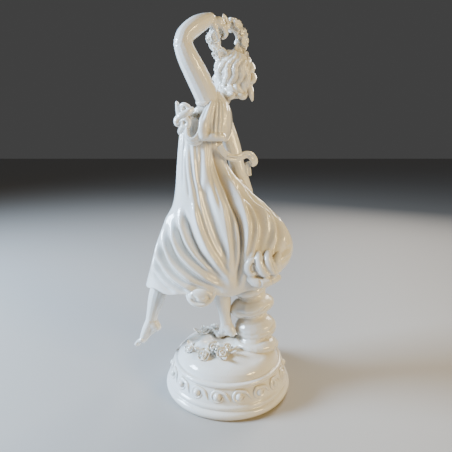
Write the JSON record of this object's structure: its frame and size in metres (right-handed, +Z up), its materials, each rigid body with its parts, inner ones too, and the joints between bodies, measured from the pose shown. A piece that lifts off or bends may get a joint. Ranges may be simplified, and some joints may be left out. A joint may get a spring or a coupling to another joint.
{
  "type": "porcelain figurine",
  "caption": "Glazed porcelain figurine of a dancing maiden in a classical gown, holding a wreath above her head, on a round beaded base with a tree stump support.",
  "frame": {"origin": "centre of the base's flat underside, on the table", "axes": "+Z up; the dancer steps towards -X and her back is turned to -Y, the side the picture shows"},
  "size_m": [0.1648, 0.129, 0.3558],
  "materials": {
    "glazed_porcelain": "gloss"
  },
  "bodies": {
    "root": {"arm_lowered": "glazed_porcelain", "arm_raised": "glazed_porcelain", "base_plinth": "glazed_porcelain", "breast_knot": "glazed_porcelain", "ground_leaf_1": "glazed_porcelain", "ground_leaf_2": "glazed_porcelain", "ground_leaf_3": "glazed_porcelain", "ground_leaf_4": "glazed_porcelain", "ground_leaf_5": "glazed_porcelain", "ground_mound": "glazed_porcelain", "ground_rose_1": "glazed_porcelain", "ground_rose_2": "glazed_porcelain", "ground_rose_3": "glazed_porcelain", "ground_rose_4": "glazed_porcelain", "hair": "glazed_porcelain", "hair_curl_1": "glazed_porcelain", "hair_curl_2": "glazed_porcelain", "hair_curl_3": "glazed_porcelain", "hair_curl_4": "glazed_porcelain", "hair_curl_5": "glazed_porcelain", "hair_leaf": "glazed_porcelain", "head": "glazed_porcelain", "hem_curl": "glazed_porcelain", "leg_raised": "glazed_porcelain", "leg_standing": "glazed_porcelain", "sash_end": "glazed_porcelain", "skirt": "glazed_porcelain", "skirt_gather": "glazed_porcelain", "sleeve_swag": "glazed_porcelain", "torso": "glazed_porcelain", "tree_stump": "glazed_porcelain", "wreath_blossom_1": "glazed_porcelain", "wreath_blossom_2": "glazed_porcelain", "wreath_blossom_3": "glazed_porcelain", "wreath_blossom_4": "glazed_porcelain", "wreath_leaf_1": "glazed_porcelain", "wreath_leaf_2": "glazed_porcelain", "wreath_leaf_3": "glazed_porcelain", "wreath_leaf_4": "glazed_porcelain", "wreath_leaf_5": "glazed_porcelain", "wreath_leaf_6": "glazed_porcelain", "wreath_ring": "glazed_porcelain"}
  },
  "joints": []
}
